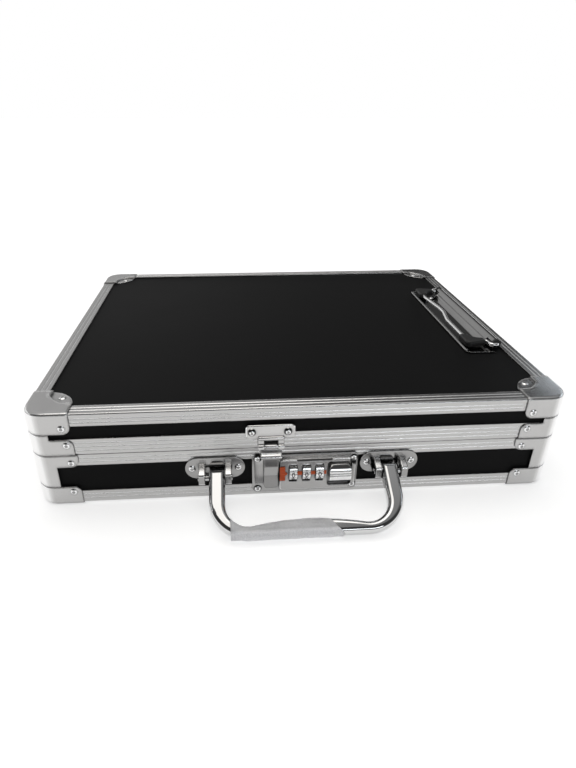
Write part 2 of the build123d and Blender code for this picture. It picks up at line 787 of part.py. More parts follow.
def hasp_staple():
    """Flat U of strip welded to the back of the strap, open for the latch's nose."""
    back = staple_front + staple_depth
    half = strap_width / 2 - 2.2
    low = staple_z - staple_height / 2
    high = staple_z + staple_height / 2
    outer = block(hasp_middle - half, hasp_middle + half, staple_front, back, low, high)
    half -= staple_wall
    inner = block(hasp_middle - half, hasp_middle + half, staple_front - 1, back - 1.0, low - 1, high + 1)
    return outer - inner


def bracket_centre(end):
    return bracket_middle + end * bracket_x


def bracket(centre):
    """Pressed handle bracket: pill plate with two strap loops lanced out of it."""
    left = centre - bracket_width / 2
    right = centre + bracket_width / 2
    low = bracket_z - bracket_height / 2
    high = bracket_z + bracket_height / 2
    end_radius = bracket_height / 2 - 0.1
    pill = plate_outline(left, right, low, high, end_radius)
    solid = front_plate(pill, -bracket_plate, 0)
    pad_high = base_height - base_rim_face - 0.3
    pad = pill & section_rect(left, right, low, pad_high)
    solid += front_plate(pad, -0.1, outer_wall)
    ear_front = pin_y - pin_radius - ear_strip / 2
    root_y = 0.2 - bracket_plate
    path = [(root_y, ear_top), (ear_front, ear_bend), (ear_front, ear_foot), (root_y, ear_root)]
    ear = strip(path, 1.0, ear_strip)
    for end in (-1, 1):
        inner = centre + end * ear_inner
        outer = inner + end * ear_width
        solid += side_profile(ear, min(inner, outer), max(inner, outer))
    slot_half = ear_inner + 0.4
    slot = plate_outline(centre - slot_half, centre + slot_half, ear_foot + 1.0, ear_top - 0.9, 2.0)
    solid -= front_plate(slot, -bracket_plate - 1, 0)
    for place in bracket_rivet_places(centre):
        solid -= shank_hole(place, bracket_plate + outer_wall)
    return solid


def bracket_rivet_places(centre):
    return [facing("front", centre + end * bracket_rivet, bracket_z, bracket_plate) for end in (-1, 1)]


def handle_outline(grow):
    """Outline of the handle in its own plane: x across, y outward from the pins."""
    half = handle_half_span + handle_arm_width / 2 + grow
    inner_half = handle_half_span - handle_arm_width / 2 - grow
    outer_y = handle_outer + grow
    inner_y = handle_opening - grow
    start = -handle_thickness
    outer = section_rect(-half, half, start, outer_y)
    far = [v for v in outer.vertices() if v.Y > 0]
    outer = fillet(far, elbow_outer + grow)
    opening = make_face(
        Line((-inner_half, start - 1), (-inner_half, inner_y))
        + ThreePointArc((-inner_half, inner_y), (0, handle_opening_middle - grow), (inner_half, inner_y))
        + Line((inner_half, inner_y), (inner_half, start - 1))
        + Line((inner_half, start - 1), (-inner_half, start - 1))
    )
    bends = [v for v in opening.vertices() if v.Y > 0]
    return Pos(handle_middle, 0) * (outer - fillet(bends, elbow_inner - grow))


def handle_place():
    return Pos(0, pin_y, pin_z) * Rot(180 + handle_droop, 0, 0)


def handle_blank(grow):
    """Handle before its ends are rounded: the outline with generously rounded long edges."""
    half = handle_thickness / 2 + grow
    bar = Pos(0, 0, -half) * extrude(handle_outline(grow), 2 * half)
    top = bar.faces().sort_by(Axis.Z)[-1]
    under = bar.faces().sort_by(Axis.Z)[0]
    return fillet(top.edges() + under.edges(), handle_edge + grow)


def handle_bar():
    """Polished bar with a round end at each pin."""
    half = handle_thickness / 2
    side = Circle(half + 0.2) + Pos(handle_outer, 0) * Rectangle(2 * handle_outer, 2 * handle_thickness)
    bar = handle_blank(0) & side_profile(side, -case_width / 2, case_width / 2)
    for end in (-1, 1):
        centre = handle_middle + end * handle_half_span
        bar -= rod_x(pin_radius + pin_fit, centre - handle_arm_width, centre + handle_arm_width, 0, 0)
    return handle_place() * bar


def grip_film():
    """Thin protective sleeve on the grip, cut off at a slant on its right end."""
    sleeve = handle_blank(film_gap + film_thickness) - handle_blank(film_gap)
    low = handle_opening_middle - 3
    high = handle_outer + handle_thickness
    ends = ((film_left, low), (film_right_inner, low), (film_right_outer, high), (film_left, high))
    cut = make_face(Polyline(*ends, close=True))
    return handle_place() * (sleeve & (Pos(0, 0, -handle_thickness) * extrude(cut, 2 * handle_thickness)))


def knuckle_spans(count, width, centre):
    step = width / count
    gap = knuckle_gap / 2
    left = centre - width / 2
    return [(left + i * step + gap, left + (i + 1) * step - gap) for i in range(count)]


def hinge_leaf_pair(centre):
    """Base and lid leaf of one hinge. The outer knuckles belong to the base leaf."""
    face = case_depth
    axis_y = face + hinge_offset
    axis_z = base_height
    x_low, x_high = centre - hinge_width / 2, centre + hinge_width / 2
    base_top = axis_z - 0.3
    base_leaf = block(x_low, x_high, face, face + hinge_leaf, base_top - base_leaf_height, base_top)
    lid_low = axis_z + 0.5
    lid_leaf = block(x_low, x_high, face, face + hinge_leaf, lid_low, lid_low + lid_leaf_height)
    for number, (low, high) in enumerate(knuckle_spans(hinge_knuckles, hinge_width, centre)):
        barrel = rod_x(hinge_barrel, low, high, axis_y, axis_z)
        if number % 2 == 0:
            web = block(low, high, face + hinge_leaf / 2, axis_y, axis_z - hinge_barrel, axis_z - 0.9)
            base_leaf += barrel + web
        else:
            web = block(low, high, face + hinge_leaf / 2, axis_y, axis_z + 0.9, axis_z + hinge_barrel)
            lid_leaf += barrel + web
            reach = hinge_offset - hinge_leaf - lid_stop_gap
            stop = block(low, high, 0, stop_length, -reach, 1.4 - reach)
            lid_leaf += Pos(0, axis_y, axis_z) * Rot(lid_open - 90, 0, 0) * stop
    base_leaf -= rod_x(hinge_pin_radius + rivet_fit, x_low - 1, x_high + 1, axis_y, axis_z)
    lid_leaf -= rod_x(hinge_pin_radius + hinge_fit, x_low - 1, x_high + 1, axis_y, axis_z)
    for place in hinge_rivets(centre, True):
        base_leaf -= shank_hole(place, hinge_leaf)
    for place in hinge_rivets(centre, False):
        lid_leaf -= shank_hole(place, hinge_leaf)
    return base_leaf, lid_leaf


def hinge_rivets(centre, base):
    base_z = base_height - 0.3 - base_leaf_height / 2 - 0.9
    lid_z = base_height + 0.5 + lid_leaf_height - 3.6
    z = base_z if base else lid_z
    return [facing("back", -centre + end * hinge_rivet, z, hinge_leaf) for end in (-1, 1)]


def clip_base():
    """Clip plate: bead along its free edge and a rear roll on a ramp, which holds the wire's ends."""
    low = case_height - outer_wall
    high = low + clip_thickness
    outline = Polyline(
        (clip_left, clip_near + clip_corner), (clip_left + clip_corner, clip_near),
        (clip_end_right, clip_near),
        (clip_end_right, clip_middle - clip_roll_half), (clip_right, clip_middle - clip_roll_half),
        (clip_right, clip_middle + clip_roll_half), (clip_end_right, clip_middle + clip_roll_half),
        (clip_end_right, clip_far), (clip_left + clip_corner, clip_far), (clip_left, clip_far - clip_corner),
        close=True)
    plate = make_face(outline)
    lip_high = clip_thickness + clip_lip
    lip = extrude(plate, lip_high) - extrude(offset(plate, -clip_lip_width), lip_high)
    lip &= block(clip_left, clip_end_right - clip_lip_width, clip_near, clip_far, 0, lip_high)
    solid = Pos(0, 0, low) * (extrude(plate, clip_thickness) + lip)
    bead_x = clip_left + clip_bead / 2
    bead_z = high + clip_bead / 2 - 0.5
    bead = rod_y(clip_bead / 2, clip_near + clip_corner, clip_far - clip_corner, bead_x, bead_z)
    pivot_z = case_height + clip_pivot_rise
    roll = Pos(clip_pivot_x, pivot_z) * Circle(clip_roll)
    foot = section_rect(clip_pivot_x - 1, clip_right, low, pivot_z)
    ramp = make_hull(roll.edges() + Line((clip_ramp_left, high - 0.1), (clip_pivot_x, high - 0.1)).edges())
    # lengthwise grooves in the ramp, which catch the light as thin stripes
    slope = Vector(clip_pivot_x - clip_roll - clip_ramp_left, pivot_z + 0.9 - high)
    for share in (0.35, 0.7):
        groove_x = clip_ramp_left + slope.X * share - 0.3
        ramp -= Pos(groove_x, high + slope.Y * share + 0.3) * Circle(clip_groove)
    solid += bead
    solid += front_plate(roll + foot, clip_middle - clip_roll_half, clip_middle + clip_roll_half)
    solid += front_plate(ramp, clip_middle - clip_ramp_half, clip_middle + clip_ramp_half)
    for end in (-1, 1):
        mouth = clip_middle + end * (clip_roll_half + 1)
        floor = clip_middle + end * (clip_roll_half - wire_socket)
        solid -= rod_y(wire_radius + wire_fit, min(mouth, floor), max(mouth, floor), clip_pivot_x, pivot_z)
    for place in clip_rivet_places():
        solid -= shank_hole(place, clip_thickness)
    return solid


def clip_rivet_places():
    top = case_height - outer_wall + clip_thickness
    return [Pos(clip_rivet_x, clip_middle + end * clip_rivet_half, top) for end in (-1, 1)]


def clip_bushings():
    """Black rings on the ends of the roll, round the wire."""
    rings = []
    pivot_z = case_height + clip_pivot_rise
    for end in (-1, 1):
        near = clip_middle + end * clip_roll_half
        far = near + end * bushing_length
        ring = rod_y(bushing_radius, min(near, far), max(near, far), clip_pivot_x, pivot_z)
        bore = rod_y(wire_radius + wire_fit, min(near, far) - 1, max(near, far) + 1, clip_pivot_x, pivot_z)
        rings.append(ring - bore)
    return rings


def clip_wire():
    """Spring-wire bail: ends in the roll, hooks, side arms, and a front run with a thumb hump."""
    z = case_height + clip_pivot_rise
    side = [
        (clip_pivot_x, clip_roll_half + 2 - wire_socket, z),
        (clip_pivot_x, wire_hook_half, z),
        (wire_hook_x, wire_hook_half, z),
        (wire_hook_x, wire_arm_half, z),
        (wire_front_x, wire_arm_half, z),
    ]
    hump_x = wire_front_x + hump_offset
    hump_z = z + hump_rise
    points = [(x, clip_middle - y, z) for x, y, z in side]
    points += [
        (wire_front_x, hump_middle - hump_near, z),
        (hump_x, hump_middle - hump_top_half, hump_z),
        (hump_x, hump_middle + hump_top_half, hump_z),
        (wire_front_x, hump_middle + hump_far, z),
    ]
    points += [(x, clip_middle + y, z) for x, y, z in reversed(side)]
    side_bends = [hook_bend, hook_bend, hook_bend, wire_bend]
    radii = side_bends + [hump_bend] * 4 + side_bends[::-1]
    path = FilletPolyline(*points, radius=radii)
    ring = Plane(origin=path @ 0, z_dir=path % 0) * Circle(wire_radius)
    return sweep(ring, path=path)


def clip_grips(wire):
    """Rubber corner grips moulded over the two front corners of the bail."""
    left = wire_front_x - 3.6
    right = wire_hook_x - 2.3
    arm = wire_arm_half
    outline = make_face(
        Polyline((left, arm - 10.5), (left, arm + 6.6), (right, arm + 3.3), (right, arm - 3.0))
        + ThreePointArc((right, arm - 3.0), (wire_front_x + 5.4, arm - 4.8), (wire_front_x + 3.3, arm - 10.5))
        + Line((wire_front_x + 3.3, arm - 10.5), (left, arm - 10.5))
    )
    corner = outline.vertices().sort_by_distance((left, arm + 6.6))[0]
    outline = fillet(corner, 3.5)
    rest = outline.vertices().filter_by(lambda v: v.Y < arm - 10 or v.X > right - 0.1)
    outline = fillet(rest, 1.2)
    grip = extrude(outline, grip_high - grip_low)
    faces = grip.faces().sort_by(Axis.Z)
    grip = fillet(faces[-1].edges() + faces[0].edges(), grip_edge)
    grip = Pos(0, 0, case_height + grip_low) * grip
    centre = Pos(0, clip_middle, 0)
    return [centre * grip - wire, centre * mirror(grip, about=Plane.XZ) - wire]


def build_nodes():
    """Every named piece, in drawing coordinates."""
    nodes = case_pieces()
    nodes.update(corner_pieces())
    way = cover_box(cover_clearance)
    nodes["base_panel_front"] -= way
    nodes["base_lining"] -= way
    nodes["lock_case"] = lock_case()
    nodes["lock_back_cover"] = lock_cover()
    rib_x = button_recess_left - lock_wall
    nodes["dial_axle"] = rod_x(axle_radius, lock_body_left - 0.5, rib_x, dial_y, dial_z)
    for index in range(dial_count):
        nodes["dial_" + str(index + 1)] = dial(index)
    nodes["index_marks"] = index_marks()
    nodes["lock_button"] = thumb_button()
    nodes["latch_plate"] = latch_plate()
    nodes["latch_spring"] = latch_spring()
    nodes["hasp_plate"] = hasp_plate()
    reach = hasp_knuckle_width / 2 + knuckle_gap + hasp_side_knuckle
    pin_ends = (hasp_middle - reach, hasp_middle + reach)
    nodes["hasp_pin"] = rod_x(hasp_pin_radius, *pin_ends, hasp_axis_y, hasp_axis_z)
    staple = hasp_staple()
    nodes["hasp"] = hasp() - staple
    nodes["hasp_staple"] = staple
    nodes["handle_bracket_left"] = bracket(bracket_centre(-1))
    nodes["handle_bracket_right"] = bracket(bracket_centre(1))
    pin_half = ear_inner + ear_width + 0.6
    nodes["handle_pins"] = [rod_x(pin_radius, x - pin_half, x + pin_half, pin_y, pin_z)
                            for x in (bracket_centre(-1), bracket_centre(1))]
    nodes["handle_bar"] = handle_bar()
    nodes["grip_film"] = grip_film()
    left_pair = hinge_leaf_pair(-hinge_x)
    right_pair = hinge_leaf_pair(hinge_x)
    nodes["hinge_base_leaves"] = [left_pair[0], right_pair[0]]
    nodes["hinge_lid_leaves"] = [left_pair[1], right_pair[1]]
    nodes["hinge_pins"] = [rod_x(hinge_pin_radius, x - hinge_width / 2, x + hinge_width / 2,
                                 case_depth + hinge_offset, base_height) for x in (-hinge_x, hinge_x)]
    nodes["clip_base"] = clip_base()
    nodes["clip_bushings"] = clip_bushings()
    wire = clip_wire()
    nodes["clip_wire"] = wire
    nodes["clip_grips"] = clip_grips(wire)
    add_rivets(nodes)
    return nodes


def add_rivets(nodes):
    """Rivets of both halves, with their holes in what they go through."""
    base_caps = flat_rivets(outer_wall - cap_thickness, False)
    base_caps += corner_facings(cap_rivet_face_inset, cap_rivet_edge)
    base_tabs = corner_facings(base_tab_rivet, base_tab_rivet_z)
    lid_caps = flat_rivets(case_height - outer_wall + cap_thickness, True)
    lid_caps += corner_facings(cap_rivet_face_inset, case_height - cap_rivet_edge - 0.3)
    lid_tabs = corner_facings(lid_tab_rivet, lid_tab_rivet_z)
    shank = cap_thickness
    for name, places in (("base_corner_caps", base_caps), ("base_rim_corners", base_tabs),
                         ("lid_corner_caps", lid_caps), ("lid_rim_corners", lid_tabs)):
        nodes[name] = drilled(nodes[name], places, shank)
    base = [rivet(place, shank=shank) for place in base_caps + base_tabs]
    for end in (-1, 1):
        places = bracket_rivet_places(bracket_centre(end))
        base += [rivet(place, shank=bracket_plate + outer_wall) for place in places]
        base += [rivet(place, shank=hinge_leaf) for place in hinge_rivets(end * hinge_x, True)]
    base += [rivet(place, head_radius=lock_rivet_radius, head_height=lock_rivet_height, shank=lock_plate)
             for place in lock_rivet_places()]
    nodes["base_rivets"] = base
    lid = [rivet(place, shank=shank) for place in lid_caps + lid_tabs]
    for end in (-1, 1):
        lid += [rivet(place, shank=hinge_leaf) for place in hinge_rivets(end * hinge_x, False)]
    hasp_shank = hasp_plate_thickness + outer_wall
    lid += [rivet(place, head_radius=hasp_rivet_radius, head_height=hasp_rivet_height, shank=hasp_shank)
            for place in hasp_rivet_places()]
    lid += [rivet(place, shank=clip_thickness) for place in clip_rivet_places()]
    nodes["lid_rivets"] = lid


def drilled(shapes, places, depth):
    """Each shape with the holes of the rivets that reach it."""
    result = []
    for shape in shapes:
        box = shape.bounding_box()
        for place in places:
            at = place.position
            inside_x = box.min.X - 1 < at.X < box.max.X + 1
            inside_y = box.min.Y - 1 < at.Y < box.max.Y + 1
            if inside_x and inside_y:
                shape -= shank_hole(place, depth)
        result.append(shape)
    return result


def footprint_place(pieces):
    """Move that puts the origin on the rest plane, under the middle of the whole part."""
    box = Compound([solid for solids in pieces.values() for solid in solids]).bounding_box()
    return Pos(-(box.min.X + box.max.X) / 2, -(box.min.Y + box.max.Y) / 2, -box.min.Z)


os.makedirs("parts", exist_ok=True)
made = {}
for node_name, shape in build_nodes().items():
    shapes = shape if isinstance(shape, list) else [shape]
    made[node_name] = [solid for each in shapes for solid in each.solids()]
rest_place = footprint_place(made)
print("origin in drawing coordinates", rest_place.position * -1)
for node_name, solids in made.items():
    placed = [rest_place * solid for solid in solids]
    node = placed[0] if len(placed) == 1 else Compound(children=placed)
    node.label = node_name
    export_step(node, os.path.join("parts", node_name + ".step"))
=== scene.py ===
import json
import math
import bmesh
import bpy
from mathutils import Matrix, Vector, noise


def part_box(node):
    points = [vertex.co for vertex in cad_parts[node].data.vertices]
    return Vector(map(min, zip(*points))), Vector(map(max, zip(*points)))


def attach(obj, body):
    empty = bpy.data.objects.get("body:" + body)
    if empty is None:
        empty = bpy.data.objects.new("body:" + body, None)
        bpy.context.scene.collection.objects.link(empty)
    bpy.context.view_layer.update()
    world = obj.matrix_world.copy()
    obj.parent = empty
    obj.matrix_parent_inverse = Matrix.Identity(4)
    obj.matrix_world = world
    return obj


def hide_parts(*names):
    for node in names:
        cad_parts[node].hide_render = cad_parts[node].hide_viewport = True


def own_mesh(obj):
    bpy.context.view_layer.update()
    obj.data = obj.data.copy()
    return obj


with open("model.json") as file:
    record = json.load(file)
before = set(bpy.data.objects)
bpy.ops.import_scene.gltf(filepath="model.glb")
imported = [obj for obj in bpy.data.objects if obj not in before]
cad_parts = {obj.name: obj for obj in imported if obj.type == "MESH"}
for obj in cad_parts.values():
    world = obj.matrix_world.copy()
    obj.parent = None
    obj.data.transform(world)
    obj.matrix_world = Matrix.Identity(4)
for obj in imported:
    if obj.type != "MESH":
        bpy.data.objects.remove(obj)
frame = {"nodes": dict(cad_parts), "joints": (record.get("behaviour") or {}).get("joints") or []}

bl_info = {
    "name": "Clipboard case looks",
    "version": (1, 0, 0),
    "blender": (4, 5, 0),
    "location": "View3D > Sidebar > Clipboard case",
    "description": "Finishes, dial figures, film sleeve and studio for a lockable clipboard case",
    "category": "Object",
}

MM = 0.001
DIALS = ("dial_1", "dial_2", "dial_3")
FIGURES_ON_A_DIAL = 10
# Rays that show a surface to the camera, straight or by way of metal and clear material
SEEN_RAYS = ("Is Camera Ray", "Is Glossy Ray", "Is Transmission Ray")
# Sockets of the colour mix node, which has others of the same names
MIX_FACTOR, MIX_FIRST, MIX_SECOND, MIX_RESULT = 0, 6, 7, 2

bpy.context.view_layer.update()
# The drawing of the case has its front face at y = 0 and the underside of its edges at z = 0.
DRAWING_ORIGIN = Vector((0.0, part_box("base_rim_front")[0][1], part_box("base_frame_front")[0][2]))


def joint_named(name):
    """The frame's entry for a joint."""
    return next(joint for joint in frame["joints"] if joint["name"] == name)


def drawn(x, y, z):
    """Point given in millimetres of the case's own drawing, in the frame's metres."""
    return DRAWING_ORIGIN + Vector((x, y, z)) * MM


class Value:
    """Output of a shader node that can be used in Python arithmetic."""

    def __init__(self, tree, socket):
        self.tree = tree
        self.socket = socket

    def combine(self, operation, left, right=0.0):
        return self.tree.node("ShaderNodeMath", {"operation": operation}, {0: left, 1: right})

    def __add__(self, other):
        return self.combine("ADD", self, other)

    def __radd__(self, other):
        return self.combine("ADD", other, self)

    def __sub__(self, other):
        return self.combine("SUBTRACT", self, other)

    def __rsub__(self, other):
        return self.combine("SUBTRACT", other, self)

    def __mul__(self, other):
        return self.combine("MULTIPLY", self, other)

    def __rmul__(self, other):
        return self.combine("MULTIPLY", other, self)

    def __truediv__(self, other):
        return self.combine("DIVIDE", self, other)

    def __rtruediv__(self, other):
        return self.combine("DIVIDE", other, self)

    def absolute(self):
        return self.combine("ABSOLUTE", self)

    def largest(self, other):
        return self.combine("MAXIMUM", self, other)

    def clamped(self):
        return self.tree.node("ShaderNodeClamp", {}, {"Value": self})

    def between(self, low, high):
        """Nought below low, one above high, and even in between."""
        return ((self - low) / (high - low)).clamped()


class ShaderTree:
    """Node tree of a material or the world, filled by short calls."""

    def __init__(self, owner):
        owner.use_nodes = True
        self.tree = owner.node_tree
        self.tree.nodes.clear()

    def node(self, kind, settings=None, inputs=None, output=0):
        """Adds a node: settings first, then values or links for its sockets."""
        made = self.tree.nodes.new(kind)
        for name, value in (settings or {}).items():
            if name == "stops":
                self.set_stops(made.color_ramp, value)
            else:
                setattr(made, name, value)
        for name, value in (inputs or {}).items():
            if isinstance(value, Value):
                self.tree.links.new(value.socket, made.inputs[name])
            else:
                made.inputs[name].default_value = value
        return Value(self, made.outputs[output])

    @staticmethod
    def set_stops(ramp, stops):
        while len(ramp.elements) < len(stops):
            ramp.elements.new(1.0)
        for element, (position, colour) in zip(ramp.elements, stops):
            element.position = position
            element.color = colour

    def place(self):
        """Position on the object, in metres of the shared frame."""
        return self.node("ShaderNodeTexCoord", output="Object")

    def axes(self, vector):
        """The three parts of a vector."""
        first = self.node("ShaderNodeSeparateXYZ", {}, {"Vector": vector})
        return [Value(self, part) for part in first.socket.node.outputs]

    def noise(self, vector, scale, detail=2.0, roughness=0.5, distortion=0.0):
        return self.node("ShaderNodeTexNoise", {}, {
            "Vector": vector, "Scale": scale, "Detail": detail, "Roughness": roughness,
            "Distortion": distortion,
        })

    def stretched(self, vector, scale):
        """The vector scaled part by part, for grain that runs one way."""
        return self.node("ShaderNodeVectorMath", {"operation": "MULTIPLY"}, {0: vector, 1: scale})

    def blend(self, factor, first, second):
        """Mix of two colours."""
        return self.node("ShaderNodeMix", {"data_type": "RGBA"},
                         {MIX_FACTOR: factor, MIX_FIRST: first, MIX_SECOND: second}, MIX_RESULT)

    def shaded(self, colour, openness, depth):
        """The colour, darkened by the given share where a crevice closes it in: painted shade."""
        return self.blend(openness, self.scaled(colour, 1 - depth), colour)

    def scaled(self, colour, share):
        """The colour, darkened to the given share."""
        return self.stretched(colour, (share, share, share))

    def ramp(self, value, stops):
        return self.node("ShaderNodeValToRGB", {"stops": stops}, {"Fac": value})

    def crevice(self, reach):
        """One on open faces and less in corners and seams nearer than the reach; a mask for painted shade."""
        return self.node("ShaderNodeAmbientOcclusion", {"samples": 4}, {"Distance": reach}, output="AO")

    def eased(self, reach):
        """Surface direction with the edges nearer than the reach eased over."""
        return self.node("ShaderNodeBevel", {"samples": 10}, {"Radius": reach})

    def lean(self):
        """One where the surface faces along an axis of the case and less where it leans or curves."""
        x, y, z = self.axes(self.node("ShaderNodeTexCoord", output="Normal"))
        return x.absolute().largest(y.absolute()).largest(z.absolute())

    def seen(self):
        """One for the camera, and for what metal and clear material show of the surroundings."""
        camera, glossy, transmission = [self.node("ShaderNodeLightPath", output=ray) for ray in SEEN_RAYS]
        return (camera + glossy + transmission).clamped()

    def bump(self, height, strength, distance, base=None):
        inputs = {"Height": height, "Strength": strength, "Distance": distance}
        if base:
            inputs["Normal"] = base
        return self.node("ShaderNodeBump", {}, inputs)

    def surface(self, **sockets):
        """Principled surface wired to the output."""
        names = {name.replace("_", " "): value for name, value in sockets.items()}
        self.output(self.node("ShaderNodeBsdfPrincipled", {}, names))

    def output(self, shader, kind="ShaderNodeOutputMaterial"):
        end = self.tree.nodes.new(kind)
        self.tree.links.new(shader.socket, end.inputs["Surface"])


def grey(level, warmth=0.0):
    """Neutral colour, a little warmer where warmth is above zero."""
    return (level * (1 + warmth), level, level * (1 - warmth), 1.0)


def toned(colour, share):
    """The colour, darker or lighter by the given share."""
    return tuple(min(part * share, 1.0) for part in colour[:3]) + (1.0,)


def new_material(name):
    material = bpy.data.materials.new(name)
    return material, ShaderTree(material)


def panel_material(looks):
    """Matt black laminate: very fine grain and faint rubbed patches."""
    material, tree = new_material("matt_black_laminate")
    place = tree.place()
    grain = tree.noise(place, 2600.0, detail=3.0, roughness=0.6)
    patches = tree.noise(place, 9.0, detail=3.0, roughness=0.55)
    colour = tree.blend(patches, toned(looks.panel_colour, 0.85), toned(looks.panel_colour, 1.2))
    tree.surface(Base_Color=colour, Roughness=looks.panel_roughness - 0.08 + patches * 0.14,
                 Normal=tree.bump(grain, strength=0.12, distance=0.00006), IOR=1.12)
    return material


def extrusion_material(looks, along_x):
    """Satin anodised aluminium, drawn along the extrusion, with its edges and fine lines eased, a painted
    highlight on its rounded edges and painted light in its grooves.
    """
    material, tree = new_material("drawn_aluminium_" + ("x" if along_x else "y"))
    place = tree.place()
    lengthwise, across = 6.0, 900.0
    stretch = (lengthwise, across, across) if along_x else (across, lengthwise, across)
    drawing = tree.noise(tree.stretched(place, stretch), 1.0, detail=3.0, roughness=0.6)
    cloud = tree.noise(place, 14.0)
    tone = (drawing * 0.5 + cloud * 0.5).clamped()
    flat = tree.blend(tone, grey(looks.aluminium_level * 0.97, warmth=0.012),
                      grey(looks.aluminium_level * 1.02, warmth=0.004))
    # Painted highlight on the rounded edges and painted light in the grooves: faces that lean take the
    # brighter level
    colour = tree.blend(tree.lean().between(0.8, 0.98), grey(looks.line_level), flat)
    tree.surface(Base_Color=colour, Metallic=1.0, Roughness=0.22 + cloud * 0.08,
                 Normal=tree.bump(drawing, strength=0.015, distance=0.00001,
                                  base=tree.eased(looks.line_ease)))
    return material


def pressed_steel_material(name, level, roughness, bump=0.05, ease=0.0008, rim=0.0, flat_from=0.88):
    """Nickel plated steel: faint orange peel, dull spots, small scratches, eased edges, a painted highlight
    on faces that lean and painted shade in crevices and seams.

    The rim is how much brighter the painted highlight makes the faces that lean, up to the lean where flat
    faces start.
    """
    material, tree = new_material(name)
    place = tree.place()
    peel = tree.noise(place, 420.0)
    cloud = tree.noise(place, 55.0, detail=4.0, roughness=0.6)
    scratch = tree.noise(tree.stretched(place, (1500.0, 120.0, 700.0)), 1.0, roughness=0.7)
    tone = (cloud * 0.7 + scratch * 0.3).clamped()
    flat = tree.blend(tone, grey(level * 0.86, warmth=0.012), grey(level * 1.1, warmth=0.004))
    # Painted highlight: faces that lean or curve take a brighter colour, raised by the rim
    flat = tree.blend(tree.lean().between(flat_from, flat_from + 0.11), grey(min(level + rim, 0.95)), flat)
    # Painted shade: the colour is darkened in crevices and seams
    shade_opening = tree.crevice(0.003)
    tree.surface(Base_Color=tree.shaded(flat, shade_opening * shade_opening, 0.8), Metallic=1.0,
                 Roughness=roughness - 0.05 + cloud * 0.12,
                 Normal=tree.bump(peel * 0.6 + scratch * 0.4, bump, distance=0.0002, base=tree.eased(ease)))
    return material


def chrome_material(name, level, roughness, ease=0.0004):
    """Polished plating with faint wipe marks and painted shade in crevices."""
    material, tree = new_material(name)
    place = tree.place()
    wipe = tree.noise(place, 38.0, detail=4.0, roughness=0.6)
    fine = tree.noise(place, 900.0)
    plating = tree.blend(wipe, grey(level * 0.94), grey(level * 1.05))
    # Painted shade: the plating is darkened in crevices and seams
    shade_opening = tree.crevice(0.002)
    tree.surface(Base_Color=tree.shaded(plating, shade_opening * shade_opening, 0.7), Metallic=1.0,
                 Roughness=roughness + wipe * 0.05,
                 Normal=tree.bump(fine, strength=0.02, distance=0.0001, base=tree.eased(ease)))
    return material


def rivet_material(name):
    """Plated domes with light painted by the dome's lean: painted shade at the foot, a painted highlight on
    the shoulder and a painted dark reflection in the middle.
    """
    material, tree = new_material(name)
    wipe = tree.noise(tree.place(), 300.0)
    # Painted shade at the foot, painted highlight on the shoulder, painted dark reflection in the middle
    foot = ((0.77, grey(0.06)), (0.84, grey(0.5)))
    shoulder = ((0.88, grey(0.92)), (0.945, grey(0.8)))
    middle = ((0.972, grey(0.2)), (1.0, grey(0.3)))
    colour = tree.ramp(tree.lean(), foot + shoulder + middle)
    tree.surface(Base_Color=colour, Metallic=1.0, Roughness=0.14 + wipe * 0.08)
    return material


def plastic_material(name, colour, roughness, grain_scale=1200.0):
    """Moulded plastic with a light texture and uneven sheen."""
    material, tree = new_material(name)
    place = tree.place()
    grain = tree.noise(place, grain_scale)
    cloud = tree.noise(place, 120.0)
    tree.surface(Base_Color=tree.blend(cloud, toned(colour, 0.8), toned(colour, 1.15)),
                 Roughness=roughness - 0.05 + cloud * 0.1,
                 Normal=tree.bump(grain, strength=0.15, distance=0.00008))
    return material


def lining_material():
    """Thin black foam: open pores and no shine."""
    material, tree = new_material("black_foam")
    place = tree.place()
    pores = tree.node("ShaderNodeTexVoronoi", {}, {"Vector": place, "Scale": 700.0})
    cloud = tree.noise(place, 30.0, detail=3.0)
    colour = tree.blend(cloud, grey(0.016), grey(0.034))
    tree.surface(Base_Color=colour, Roughness=0.85 + cloud * 0.1,
                 Normal=tree.bump(pores, strength=0.5, distance=0.0003))
    return material


def film_material(pivot, droop, band):
    """Protective film: clear over the grip, milky and speckled along its creased outer band.

    The band starts at its distance out from the pivot, in the plane of the drooping handle.
    """
    material, tree = new_material("protective_film")
    place = tree.place()
    _, y, z = tree.axes(place)
    sine, cosine = math.sin(droop), math.cos(droop)
    out = (pivot.y * cosine + pivot.z * sine) - y * cosine - z * sine
    outer = out.between(band - 0.001, band + 0.0006)
    clouds = tree.noise(place, 90.0, detail=3.0, roughness=0.6, distortion=0.6)
    specks = tree.noise(place, 1300.0, detail=3.0, roughness=0.8)
    clear = clouds * 0.3 + specks * 0.14 + 0.18
    milky = clouds * 0.2 + specks * 0.7 + 0.42
    cover = (clear + (milky - clear) * outer).clamped()
    # Painted glow: a faint white emission brightens the film, in place of light passing through it
    tree.surface(Base_Color=tree.blend(specks, (0.93, 0.93, 0.98, 1.0), grey(1.0)),
                 Roughness=0.2 + clouds * 0.2, Alpha=cover,
                 Normal=tree.bump(specks, strength=0.25, distance=0.0003),
                 Emission_Color=grey(1.0), Emission_Strength=0.07)
    return material


def paint(material, *nodes):
    """Gives the CAD nodes' own objects one material."""
    for node in nodes:
        shape = frame["nodes"][node]
        if not shape.data.materials:
            shape.data.materials.append(material)
        for slot in shape.material_slots:
            slot.material = material


def finished_mesh(name, shape, material):
    """Mesh of one material made from a bmesh, which is freed."""
    mesh = bpy.data.meshes.new(name)
    shape.to_mesh(mesh)
    shape.free()
    mesh.materials.append(material)
    return mesh


def linked(name, data):
    """New object in the scene."""
    made = bpy.data.objects.new(name, data)
    bpy.context.scene.collection.objects.link(made)
    return made


